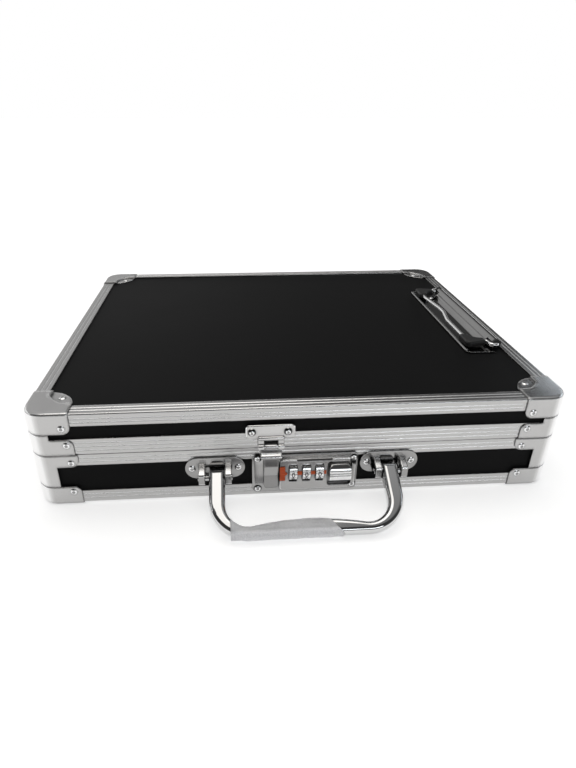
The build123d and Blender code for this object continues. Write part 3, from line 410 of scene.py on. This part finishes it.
def block(name, low, high, material):
    """Thin rectangular piece between two points."""
    shape = bmesh.new()
    bmesh.ops.create_cube(shape, size=1.0)
    middle = (low + high) / 2
    for vertex in shape.verts:
        vertex.co = middle + Vector(part * (b - a) for part, a, b in zip(vertex.co, low, high))
    return linked(name, finished_mesh(name, shape, material))


class CaseLooks(bpy.types.PropertyGroup):
    panel_colour: bpy.props.FloatVectorProperty(
        name="Panel colour", description="Colour of the laminated panels", subtype="COLOR", size=4,
        default=(0.0098, 0.0098, 0.0101, 1.0))
    panel_roughness: bpy.props.FloatProperty(
        name="Panel roughness", description="Roughness of the laminate", default=0.5, min=0.0, max=1.0)
    aluminium_level: bpy.props.FloatProperty(
        name="Aluminium level", description="Brightness of the anodised extrusions", default=0.47,
        min=0.0, max=1.0)
    # Level of the painted highlight on the extrusions' rounded edges and the painted light in their grooves
    line_level: bpy.props.FloatProperty(
        name="Line level", description="Brightness of the extrusions' rounded edges and grooves", default=0.8,
        min=0.0, max=1.0)
    line_ease: bpy.props.FloatProperty(
        name="Line ease", description="How far the extrusions' edges and lines are eased", default=0.0009,
        unit="LENGTH")
    steel_level: bpy.props.FloatProperty(
        name="Steel level", description="Brightness of the pressed steel", default=0.48, min=0.0, max=1.0)
    orange: bpy.props.FloatVectorProperty(
        name="Pointer colour", description="Colour of the pointer beside the dials", subtype="COLOR", size=4,
        default=(0.75, 0.1, 0.008, 1.0))


class FilmSleeve(bpy.types.PropertyGroup):
    left: bpy.props.FloatProperty(
        name="Left end", description="Where the sleeve starts, from the middle of the case", default=-0.0468,
        unit="LENGTH")
    right_inner: bpy.props.FloatProperty(
        name="Right end, inner side", description="Where the slanted cut meets the finger side",
        default=0.0117, unit="LENGTH")
    right_outer: bpy.props.FloatProperty(
        name="Right end, outer side", description="Where the slanted cut meets the outer side",
        default=0.0206, unit="LENGTH")
    slack: bpy.props.FloatProperty(
        name="Slack", description="How far the wrinkles stand off the grip", default=0.00042, unit="LENGTH")
    skin: bpy.props.FloatProperty(
        name="Film thickness", description="Thickness of the film", default=0.00006, unit="LENGTH")


class DialFigures(bpy.types.PropertyGroup):
    height: bpy.props.FloatProperty(
        name="Figure height", description="Height of the figures", default=0.0034, unit="LENGTH")
    thickness: bpy.props.FloatProperty(
        name="Figure thickness", description="How far the figures stand off the wheel", default=0.00008,
        unit="LENGTH")
    first: bpy.props.IntProperty(
        name="First figure", description="Figure at the index line", default=0, min=0, max=9)


class StudioSettings(bpy.types.PropertyGroup):
    key_power: bpy.props.FloatProperty(
        name="Key light", description="Power of the large overhead light", default=5.0, min=0.0)
    fill_power: bpy.props.FloatProperty(
        name="Fill light", description="Power of the front fill", default=2.6, min=0.0)
    floor_lift: bpy.props.FloatProperty(
        name="Floor lift", description="Added brightness of the floor as the camera sees it", default=0.6,
        min=0.0)
    wall_level: bpy.props.FloatProperty(
        name="Wall level", description="Brightness of the room's walls, above the white backdrop",
        default=0.05, min=0.0)
    back_level: bpy.props.FloatProperty(
        name="Back wall level", description="Brightness of the wall behind the case", default=0.08, min=0.0)
    window_level: bpy.props.FloatProperty(
        name="Window level", description="Brightness of the soft patch behind the case at the left",
        default=0.55, min=0.0)
    strip_power: bpy.props.FloatProperty(
        name="Strip lights", description="Power of the strip lights at the sides", default=1.6, min=0.0)
    ceiling_level: bpy.props.FloatProperty(
        name="Ceiling level", description="Brightness of the room's ceiling", default=0.7, min=0.0)


class CASE_OT_body(bpy.types.Operator):
    """Finish the panels, extrusions, corner pieces, rivets and lining"""
    bl_idname = "case.body"
    bl_label = "Case body"

    def execute(self, context):
        looks = context.scene.case_looks
        black = panel_material(looks)
        along_x = extrusion_material(looks, along_x=True)
        along_y = extrusion_material(looks, along_x=False)
        sides = {"front": along_x, "back": along_x, "left": along_y, "right": along_y}
        for half in ("base", "lid"):
            for side, aluminium in sides.items():
                paint(black, half + "_panel_" + side)
                paint(aluminium, half + "_frame_" + side, half + "_rim_" + side)
        paint(black, "base_bottom_panel", "lid_top_panel")
        steel = pressed_steel_material(
            "nickel_corner_steel", looks.steel_level, roughness=0.17, bump=0.04, ease=0.0026, rim=0.35)
        paint(steel, "base_corner_caps", "base_rim_corners", "lid_corner_caps", "lid_rim_corners")
        paint(rivet_material("plated_rivets"), "base_rivets", "lid_rivets")
        paint(lining_material(), "base_lining", "lid_lining")
        return {"FINISHED"}


class CASE_OT_lock(bpy.types.Operator):
    """Finish the lock, its hasp, button and inner pieces"""
    bl_idname = "case.lock"
    bl_label = "Lock"

    def execute(self, context):
        looks = context.scene.case_looks
        cast = pressed_steel_material(
            "satin_nickel_casting", level=0.38, roughness=0.2, bump=0.05, ease=0.0012, rim=0.5)
        paint(cast, "lock_case", "hasp_staple")
        brushed = pressed_steel_material(
            "brushed_hasp", level=0.27, roughness=0.18, bump=0.08, ease=0.0016, rim=0.6)
        paint(brushed, "hasp")
        plated = pressed_steel_material(
            "bright_nickel", level=0.53, roughness=0.1, bump=0.03, ease=0.0012, rim=0.4)
        paint(plated, "hasp_plate", "hasp_pin")
        paint(plastic_material("black_moulding", grey(0.02), roughness=0.5), "lock_back_cover")
        paint(plastic_material("orange_pointer", looks.orange, roughness=0.35), "index_marks")
        paint(chrome_material("button_chrome", level=0.78, roughness=0.08, ease=0.0012), "lock_button")
        spring = pressed_steel_material("spring_steel", level=0.5, roughness=0.3)
        paint(spring, "latch_plate", "dial_axle")
        self.return_spring(spring)
        paint(chrome_material("dial_chrome", level=0.8, roughness=0.16), *DIALS)
        self.slot_inlay()
        return {"FINISHED"}

    @staticmethod
    def slot_inlay():
        """Dark bar that fills the slot above the dials."""
        dark = plastic_material("dark_inlay", (0.03, 0.028, 0.026, 1.0), roughness=0.3)
        slot_low, slot_high = drawn(-3.7, -4.22, 29.5), drawn(19.0, -4.12, 30.8)
        inlay = block("lock_slot_inlay", slot_low, slot_high, dark)
        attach(inlay, "base")

    @staticmethod
    def return_spring(material):
        """Coil below the latch plate: a copy of the frame's coil in the given material, carried by the
        button.
        """
        coil = linked("return_spring", frame["nodes"]["latch_spring"].data.copy())
        coil.data.materials.clear()
        coil.data.materials.append(material)
        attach(coil, "lock_button")
        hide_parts("latch_spring")
        low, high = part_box("latch_spring")
        travel = max(joint_named("button_push")["range_m"])
        1 - travel / (high[2] - low[2])
        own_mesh(coil)


class CASE_OT_dial_figures(bpy.types.Operator):
    """Wrap the figures 0 to 9 round each dial"""
    bl_idname = "case.dial_figures"
    bl_label = "Dial figures"

    # Middle of the figures from the wheel's right face, in metres
    ring_inset = 0.0025
    font_size_per_height = 1.35
    widening = 1.05

    def execute(self, context):
        figures = context.scene.dial_figures
        black = plastic_material("black_figures", grey(0.01), roughness=0.4)
        for dial in DIALS:
            low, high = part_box(dial)
            centre = (Vector(low) + Vector(high)) / 2
            radius = (high[1] - low[1]) / 2
            ring = bmesh.new()
            for step in range(FIGURES_ON_A_DIAL):
                figure = (figures.first + step) % FIGURES_ON_A_DIAL
                self.add_figure(ring, figures, str(figure), step, radius)
            name = dial.replace("dial", "dial_figures")
            mesh = finished_mesh(name, ring, black)
            mesh.transform(Matrix.Translation((high[0] - self.ring_inset, centre.y, centre.z)))
            piece = linked(name, mesh)
            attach(piece, dial)
        return {"FINISHED"}

    def add_figure(self, ring, figures, text, step, radius):
        """One figure, wrapped on the wheel with its foot turned down at the front."""
        curve = bpy.data.curves.new("figure", "FONT")
        curve.body = text
        curve.size = figures.height * self.font_size_per_height
        curve.align_x = "CENTER"
        curve.align_y = "CENTER"
        curve.extrude = figures.thickness
        holder = bpy.data.objects.new("figure", curve)
        mesh = bpy.data.meshes.new_from_object(holder)
        turn = 2 * math.pi * step / FIGURES_ON_A_DIAL
        for vertex in mesh.vertices:
            x, up, out = vertex.co
            angle = turn + up / radius
            reach = radius + out
            vertex.co = Vector((x * self.widening, -reach * math.cos(angle), reach * math.sin(angle)))
        ring.from_mesh(mesh)
        bpy.data.meshes.remove(mesh)
        bpy.data.objects.remove(holder)
        bpy.data.curves.remove(curve)


class CASE_OT_handle(bpy.types.Operator):
    """Finish the handle, its pins and its brackets"""
    bl_idname = "case.handle"
    bl_label = "Handle"

    def execute(self, context):
        bright = pressed_steel_material(
            "bracket_plating", level=0.32, roughness=0.12, bump=0.03, ease=0.0009, rim=0.6)
        paint(bright, "handle_bracket_left", "handle_bracket_right")
        chrome = chrome_material("handle_chrome", level=0.6, roughness=0.03)
        paint(chrome, "handle_bar", "handle_pins")
        return {"FINISHED"}


class CASE_OT_film_sleeve(bpy.types.Operator):
    """Replace the film on the grip with a loose, wrinkled sleeve pinched flat at its left end"""
    bl_idname = "case.film_sleeve"
    bl_label = "Film sleeve"

    # How far the handle droops at rest, and its sizes in its own plane, in millimetres from its pins.
    droop = math.radians(27.0)
    bar_middle = 0.65
    bar_outer = 39.9
    bar_half_thickness = 4.3
    bar_edge = 3.0
    waist = 29.7
    waist_radius = 179.3
    elbow_outer = 24.0
    elbow_outer_x = -35.85
    elbow_inner = 14.0
    elbow_inner_x = -35.65
    elbow_inner_out = 19.14
    elbow_meets_waist = -33.02
    # A line inside the bar, from which the sleeve's outward direction is told
    core = bar_outer - 5.0
    # Where the film's folded edge lies, how far its wrinkles may pass it, the least outward part of
    # a direction where that counts, and the gap to the bar
    pinch = 40.33
    pinch_room = 0.05
    facing_out = 0.3
    clearance = 0.13
    # Rings along the sleeve, points round each, steps of a rounded corner, rounds to meet the cut
    stations = 96
    points = 72
    corner_steps = 12
    cut_rounds = 3

    def execute(self, context):
        sleeve = context.scene.film_sleeve
        rings = [self.ring(sleeve, step / (self.stations - 1)) for step in range(self.stations)]
        shell = bmesh.new()
        outside = [self.raised(shell, ring) for ring in rings]
        inside = [self.raised(shell, self.shrunk(ring, sleeve.skin / MM)) for ring in rings]
        for near, far in zip(outside, outside[1:]):
            self.band(shell, near, far)
        for near, far in zip(inside, inside[1:]):
            self.band(shell, far, near)
        self.band(shell, inside[0], outside[0])
        self.band(shell, outside[-1], inside[-1])
        bmesh.ops.recalc_face_normals(shell, faces=shell.faces)
        for face in shell.faces:
            face.smooth = True
        film = film_material(self.pivot(), self.droop, (self.bar_outer - self.bar_edge) * MM)
        piece = linked("film_sleeve", finished_mesh("film_sleeve", shell, film))
        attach(piece, "handle")
        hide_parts("grip_film")
        return {"FINISHED"}

    def raised(self, shell, ring):
        """The ring's points as vertices of the shell."""
        return [shell.verts.new(self.placed(*point)) for point in ring]

    @staticmethod
    def band(shell, near, far):
        """Faces between two closed rings of the same length."""
        count = len(near)
        for index in range(count):
            after = (index + 1) % count
            shell.faces.new((near[index], near[after], far[after], far[index]))

    @staticmethod
    def pivot():
        """Middle of the handle's hinge line."""
        return Vector(joint_named("handle_hinge")["pos_m"])

    def placed(self, across, out, up):
        """A point of the handle's own plane, in metres of the shared frame."""
        sine, cosine = math.sin(self.droop), math.cos(self.droop)
        return self.pivot() + Vector((across, -out * cosine - up * sine, up * cosine - out * sine)) * MM

    def edges_at(self, across):
        """Inner and outer edge of the bar at a place along the grip."""
        if across > self.elbow_meets_waist:
            drop = across - self.bar_middle
            inner = self.waist + self.waist_radius - math.sqrt(self.waist_radius ** 2 - drop ** 2)
        else:
            drop = min(abs(across - self.elbow_inner_x), self.elbow_inner)
            inner = self.elbow_inner_out + math.sqrt(self.elbow_inner ** 2 - drop ** 2)
        outer = self.bar_outer
        if across < self.elbow_outer_x:
            drop = across - self.elbow_outer_x
            outer += math.sqrt(self.elbow_outer ** 2 - drop ** 2) - self.elbow_outer
        return inner, outer

    def section(self, across):
        """Closed outline round the bar at a place along the grip, drawn tight like a stretched band."""
        inner, outer = self.edges_at(across)
        inner -= self.clearance
        outer += self.clearance
        half = self.bar_half_thickness + self.clearance
        edge = min(self.bar_edge + self.clearance, (outer - inner) / 2)
        upper = []
        for centre, start in ((inner + edge, math.pi), (outer - edge, math.pi / 2)):
            for step in range(self.corner_steps + 1):
                angle = start - step / self.corner_steps * math.pi / 2
                upper.append((centre + edge * math.cos(angle), half - edge + edge * math.sin(angle)))
        upper.insert(0, (inner, 0.0))
        upper.append((max(outer, self.pinch), 0.0))
        hull = []
        for point in upper:
            while len(hull) > 1 and self.turn(hull[-2], hull[-1], point) >= 0:
                hull.pop()
            hull.append(point)
        outline = hull + [(out, -up) for out, up in hull[-2:0:-1]]
        return self.evenly(outline)

    @staticmethod
    def turn(first, second, third):
        """Above nought where three points turn left, below where they turn right."""
        return ((second[0] - first[0]) * (third[1] - first[1])
                - (second[1] - first[1]) * (third[0] - first[0]))

    def evenly(self, outline):
        """The outline again with evenly spaced points."""
        closed = outline + outline[:1]
        lengths = [math.dist(a, b) for a, b in zip(closed, closed[1:])]
        step = sum(lengths) / self.points
        result, index, passed = [], 0, 0.0
        for number in range(self.points):
            wanted = number * step
            while passed + lengths[index] < wanted:
                passed += lengths[index]
                index += 1
            share = (wanted - passed) / lengths[index]
            start, end = closed[index], closed[index + 1]
            result.append(tuple(a + (b - a) * share for a, b in zip(start, end)))
        return result

    def ring(self, sleeve, share):
        """One ring of the sleeve with its wrinkles; the last rings follow the slanted cut."""
        left = sleeve.left / MM
        cuts = (sleeve.right_inner / MM, sleeve.right_outer / MM)
        points = []
        for index in range(self.points):
            across = left + share * (cuts[0] - left)
            for _ in range(self.cut_rounds):
                out, up = self.section(across)[index]
                slant = (out - self.waist) / (self.bar_outer - self.waist)
                across = left + share * (cuts[0] + (cuts[1] - cuts[0]) * min(max(slant, 0.0), 1.0) - left)
            points.append((across, out, up))
        return [self.wrinkled(sleeve, points, index) for index in range(self.points)]

    def wrinkled(self, sleeve, points, index):
        """A point of the ring, lifted off the bar by the film's folds where it has room."""
        across, out, up = points[index]
        normal = self.outward(points, index)
        lift = sleeve.slack / MM * self.crease(across, out, up)
        if normal.x > self.facing_out:
            lift = min(lift, max(self.pinch + self.pinch_room - out, 0.0))
        return across, out + normal.x * lift, up + normal.y * lift

    def outward(self, ring, index):
        """Direction off the bar at a point of a ring, in the plane of its section."""
        before, (_, out, up), after = ring[index - 1], ring[index], ring[(index + 1) % len(ring)]
        normal = Vector((after[2] - before[2], before[1] - after[1]))
        if normal.length > 0:
            normal.normalize()
        if normal.dot(Vector((out - self.core, up))) < 0:
            normal.negate()
        return normal

    @staticmethod
    def crease(across, out, up):
        """Height of the film's folds, from 0 to 1: long ones, slanting creases and fine crumple."""
        long_folds = noise.noise(Vector((across * 0.16, out * 0.55, up * 0.55)))
        slanted = noise.noise(Vector((across * 0.5 + out * 0.5, out * 0.9 - across * 0.25, up * 0.9 + 7.0)))
        crumple = noise.noise(Vector((across * 1.5, out * 1.6, up * 1.6 + 3.0)))
        height = 0.45 + long_folds * 0.7 + (0.5 - abs(slanted)) * 0.5 + crumple * 0.25
        return min(max(0.0, height), 1.0)

    def shrunk(self, ring, skin):
        """The ring's inner side."""
        result = []
        for index, (across, out, up) in enumerate(ring):
            normal = self.outward(ring, index)
            result.append((across, out - normal.x * skin, up - normal.y * skin))
        return result


class CASE_OT_hinges(bpy.types.Operator):
    """Finish the rear hinges"""
    bl_idname = "case.hinges"
    bl_label = "Hinges"

    def execute(self, context):
        steel = pressed_steel_material("hinge_steel", level=0.55, roughness=0.26)
        paint(steel, "hinge_base_leaves", "hinge_lid_leaves", "hinge_pins")
        return {"FINISHED"}


class CASE_OT_clip(bpy.types.Operator):
    """Finish the clip on the lid"""
    bl_idname = "case.clip"
    bl_label = "Clip"

    def execute(self, context):
        steel = pressed_steel_material(
            "clip_steel", level=0.34, roughness=0.06, bump=0.02, ease=0.0004, rim=0.55, flat_from=0.6)
        paint(steel, "clip_base")
        paint(chrome_material("clip_wire_plating", level=0.92, roughness=0.06), "clip_wire")
        rubber = plastic_material("black_rubber", grey(0.012), roughness=0.45, grain_scale=700.0)
        paint(rubber, "clip_grips", "clip_bushings")
        return {"FINISHED"}


class CASE_OT_stage(bpy.types.Operator):
    """Floor, lights, world and the camera at the photograph's angle"""
    bl_idname = "case.stage"
    bl_label = "Studio"

    # In metres: half the floor's side, how far it lies below the case, and where it starts and ends
    # to turn white, from the middle
    floor_reach = 6.0
    floor_drop = 0.0002
    floor_fade = (0.3, 1.2)
    # Name, place, target, size, power and colour of each light
    lamps = (
        ("key", (-0.1, 0.1, 1.35), (-0.05, 0.08, 0.0), (1.25, 1.0), "key_power", (1.0, 0.965, 0.915)),
        ("left_strip", (-1.2, 0.35, 0.6), (0.0, -0.05, 0.03), (1.5, 0.16), "strip_power", (1.0, 1.0, 1.0)),
        ("right_strip", (1.2, 0.35, 0.6), (0.0, -0.05, 0.03), (1.5, 0.16), "strip_power", (0.86, 0.93, 1.0)),
        ("fill", (0.5, -1.5, 0.75), (0.0, -0.1, 0.03), (0.8, 0.3), "fill_power", (0.93, 0.965, 1.0)),
    )
    # Parts of a direction between which the white backdrop ends, the back wall's and the ceiling's
    # light comes in, and the ceiling's front edge softens
    backdrop_end = (0.04, 0.16)
    back_wall = (0.1, 0.8)
    ceiling = (0.5, 0.97)
    ceiling_front = (-0.3, 0.2)
    # Soft patch of light behind the case at the left: its direction and how close to it light falls
    window = (-0.42, 0.82, 0.4)
    window_edge = (0.8, 1.0)

    def execute(self, context):
        studio = context.scene.studio
        self.floor(studio)
        self.lights(studio)
        self.world(context, studio)
        self.camera(context)
        context.scene.view_settings.view_transform = "Standard"
        return {"FINISHED"}

    def floor(self, studio):
        """White floor that keeps the case's shadow and reads as white further off."""
        material, tree = new_material("white_floor")
        shade = tree.noise(tree.place(), 3.0)
        diffuse = tree.node("ShaderNodeBsdfDiffuse", {}, {"Color": tree.blend(shade, grey(0.86), grey(0.88))})
        away = tree.node("ShaderNodeVectorMath", {"operation": "LENGTH"}, {0: tree.place()}, "Value")
        lift = away.between(*self.floor_fade) * (1.0 - studio.floor_lift) + studio.floor_lift
        added = tree.node("ShaderNodeEmission", {}, {"Color": grey(1.0), "Strength": tree.seen() * lift})
        tree.output(tree.node("ShaderNodeAddShader", {}, {0: diffuse, 1: added}))
        plane = bmesh.new()
        bmesh.ops.create_grid(plane, x_segments=1, y_segments=1, size=self.floor_reach)
        floor = linked("floor", finished_mesh("floor", plane, material))
        floor.location = (0, 0, -self.floor_drop)

    def lights(self, studio):
        for name, place, target, size, power, colour in self.lamps:
            light = bpy.data.lights.new(name, "AREA")
            light.shape = "RECTANGLE"
            light.size, light.size_y = size
            light.energy = getattr(studio, power)
            light.color = colour
            lamp = linked(name, light)
            lamp.location = place
            lamp.rotation_euler = (Vector(target) - Vector(place)).to_track_quat("-Z", "Y").to_euler()

    def world(self, context, studio):
        """White backdrop to the camera, and a room with a dim wall, a ceiling and a window to the metal."""
        world = bpy.data.worlds.new("studio")
        context.scene.world = world
        tree = ShaderTree(world)
        by_camera = tree.node("ShaderNodeLightPath", output="Is Camera Ray")
        direction = tree.node("ShaderNodeTexCoord", output="Generated")
        _, back, up = tree.axes(direction)
        backdrop = 1.0 - up.between(*self.backdrop_end)
        walls = back.between(*self.back_wall) * (studio.back_level - studio.wall_level) + studio.wall_level
        ceiling = up.between(*self.ceiling) * back.between(*self.ceiling_front)
        level = walls + backdrop * (1.0 - studio.wall_level) + ceiling * studio.ceiling_level
        facing = tree.node("ShaderNodeVectorMath", {"operation": "DOT_PRODUCT"},
                           {0: direction, 1: Vector(self.window).normalized()}, "Value")
        level = level + facing.between(*self.window_edge) * studio.window_level
        room = tree.node("ShaderNodeCombineColor", {}, {0: level, 1: level, 2: level})
        background = tree.node("ShaderNodeBackground", {}, {"Color": tree.blend(by_camera, room, grey(1.0))})
        tree.output(background, "ShaderNodeOutputWorld")

    @staticmethod
    def camera(context):
        """Camera found by fitting the case's edges in the photograph."""
        yaw, pitch, roll = -0.0713, 0.4734, 0.0046
        focal_pixels = 525.8
        centre_x, centre_y = 267.1, 364.6
        frame_width, frame_height = 576.0, 768.0
        place = drawn(-42.27, -271.80, 236.61)
        forward = Vector((-math.sin(yaw) * math.cos(pitch), math.cos(yaw) * math.cos(pitch),
                          -math.sin(pitch)))
        level = Vector((math.cos(yaw), math.sin(yaw), 0.0))
        upright = level.cross(forward)
        right = level * math.cos(roll) + upright * math.sin(roll)
        up = -level * math.sin(roll) + upright * math.cos(roll)
        turned = Matrix((right, up, -forward)).transposed()
        data = bpy.data.cameras.new("camera")
        data.sensor_fit = "VERTICAL"
        data.sensor_height = 24.0
        data.lens = focal_pixels / frame_height * data.sensor_height
        data.shift_x = (frame_width / 2 - centre_x) / frame_height
        data.shift_y = (centre_y - frame_height / 2) / frame_height
        data.clip_start = 0.01
        camera = linked("camera", data)
        camera.matrix_world = Matrix.Translation(place) @ turned.to_4x4()
        context.scene.camera = camera


OPERATORS = (
    CASE_OT_body, CASE_OT_lock, CASE_OT_dial_figures, CASE_OT_handle, CASE_OT_film_sleeve, CASE_OT_hinges,
    CASE_OT_clip, CASE_OT_stage,
)
GROUPS = {
    "case_looks": CaseLooks, "film_sleeve": FilmSleeve, "dial_figures": DialFigures,
    "studio": StudioSettings,
}


class CASE_PT_panel(bpy.types.Panel):
    """Lists the pieces of the case's looks"""
    bl_idname = "CASE_PT_panel"
    bl_label = "Clipboard case"
    bl_space_type = "VIEW_3D"
    bl_region_type = "UI"
    bl_category = "Clipboard case"

    def draw(self, context):
        for operator in OPERATORS:
            self.layout.operator(operator.bl_idname)
        for name in GROUPS:
            settings = getattr(context.scene, name)
            for prop in settings.bl_rna.properties:
                if not prop.is_readonly and prop.identifier != "name":
                    self.layout.prop(settings, prop.identifier)


def register():
    for name, group in GROUPS.items():
        bpy.utils.register_class(group)
        setattr(bpy.types.Scene, name, bpy.props.PointerProperty(type=group))
    for kind in OPERATORS + (CASE_PT_panel,):
        bpy.utils.register_class(kind)


def unregister():
    for kind in reversed(OPERATORS + (CASE_PT_panel,)):
        bpy.utils.unregister_class(kind)
    for name, group in GROUPS.items():
        delattr(bpy.types.Scene, name)
        bpy.utils.unregister_class(group)


def main():
    register()
    for operator in OPERATORS:
        group, name = operator.bl_idname.split(".")
        getattr(getattr(bpy.ops, group), name)()


if __name__ == "__main__":
    main()
